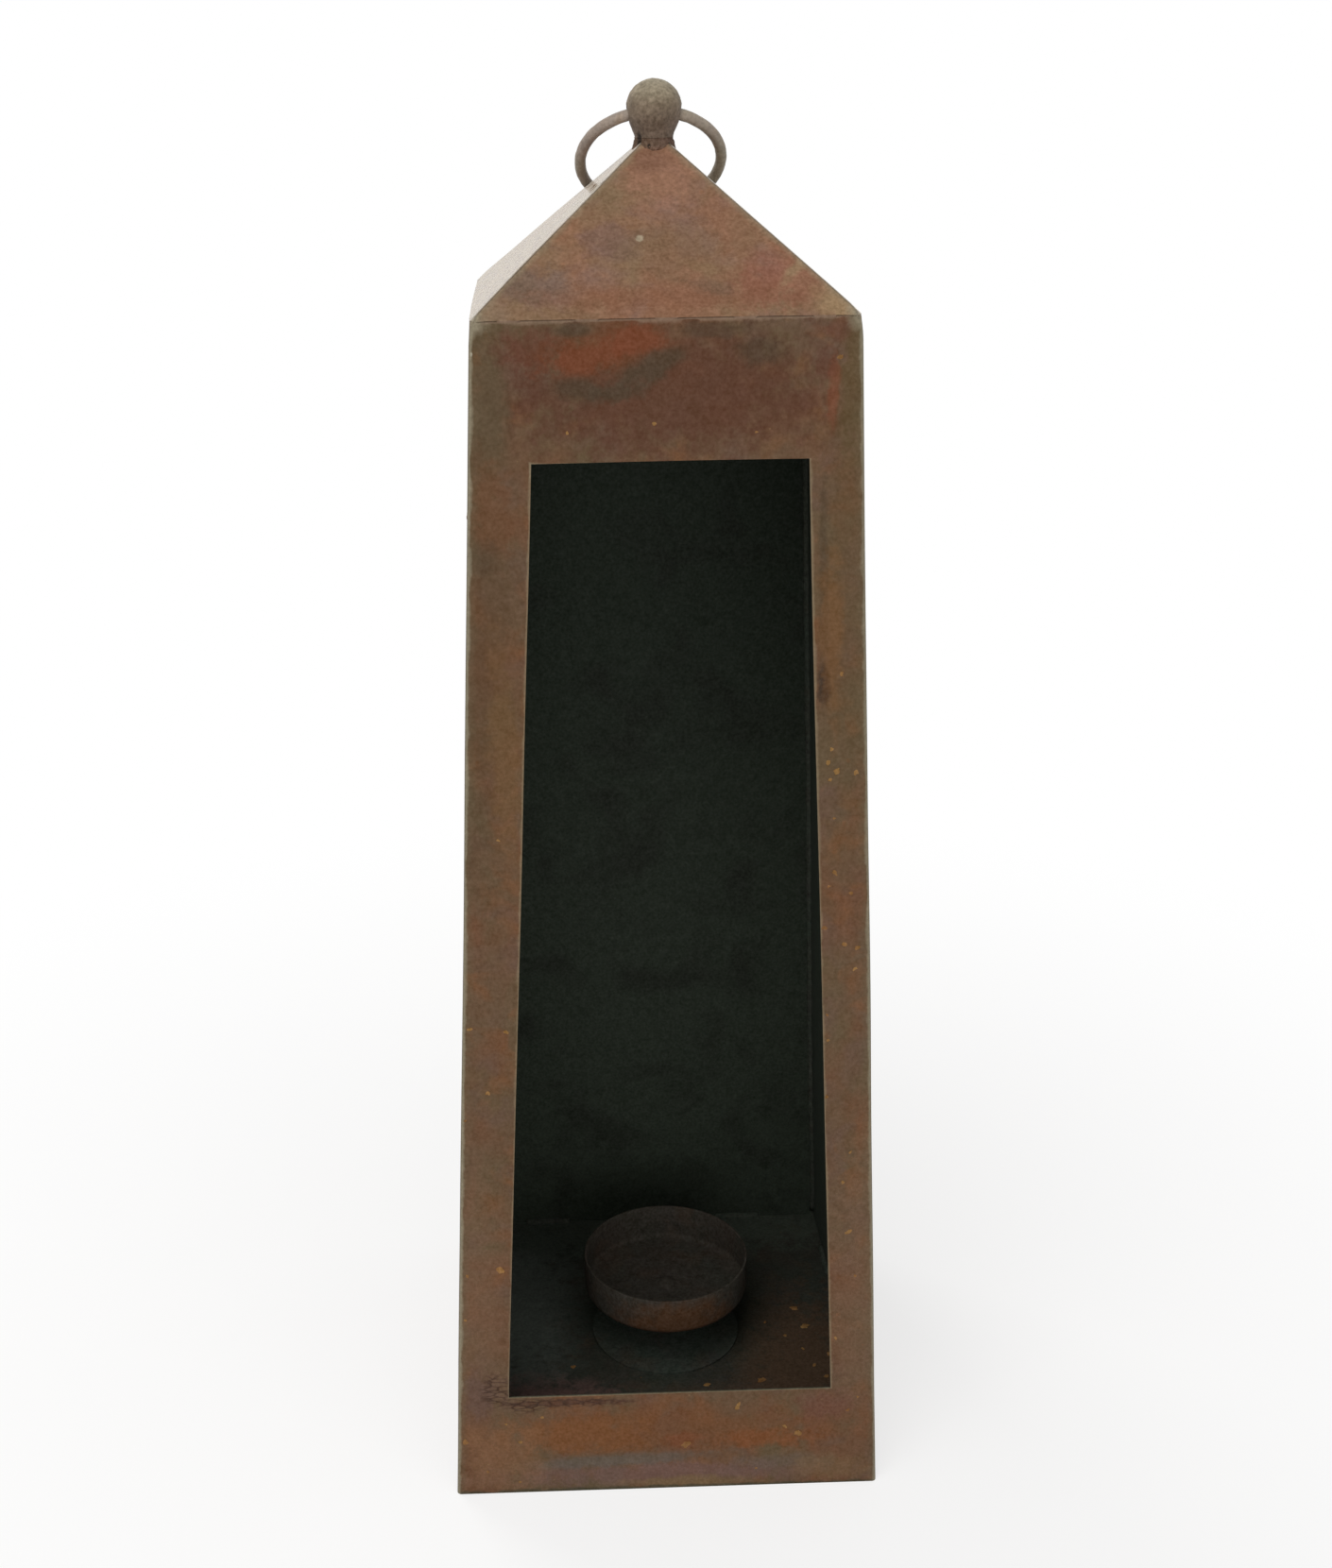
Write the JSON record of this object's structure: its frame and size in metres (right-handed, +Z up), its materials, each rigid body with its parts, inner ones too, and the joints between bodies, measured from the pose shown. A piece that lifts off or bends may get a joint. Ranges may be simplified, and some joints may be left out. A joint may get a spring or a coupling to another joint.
{
  "type": "sheet metal candle lantern",
  "caption": "Tall tapered sheet-steel candle lantern with an open front, a pyramid roof, a ball finial, a swinging hanging ring and a raised cup for a pillar candle.",
  "frame": {"origin": "on the ground at the middle of the square base", "axes": "+Z up along the tower, -Y out of the open window, +X to the right of someone who looks into it"},
  "size_m": [0.18, 0.18, 0.5644],
  "materials": {
    "sheet": "matte",
    "finial": "matte",
    "ring_wire": "matte",
    "cup": "matte",
    "braze": "matte"
  },
  "bodies": {
    "tower": {"front_panel": "sheet", "right_panel": "sheet", "back_panel": "sheet", "left_panel": "sheet", "corner_braze": "braze", "floor_plate": "sheet", "floor_braze": "braze", "eave_collar": "sheet", "eave_tacks": "braze", "roof_front": "sheet", "roof_right": "sheet", "roof_back": "sheet", "roof_left": "sheet", "ridge_braze": "braze", "finial_washer": "finial", "finial_pin": "finial", "finial_neck": "finial", "neck_braze": "braze", "finial_ball": "finial", "cup_foot": "cup", "cup_stem": "cup", "candle_cup": "cup", "cup_rivet": "cup"},
    "ring": {"hanging_ring": "ring_wire"}
  },
  "joints": [
    {"name": "ring_swing", "type": "hinge", "parent": "tower", "child": "ring", "pos_m": [0, 0, 0.5522], "axis": [1, 0, 0], "range_deg": [0, 265.3]}
  ]
}
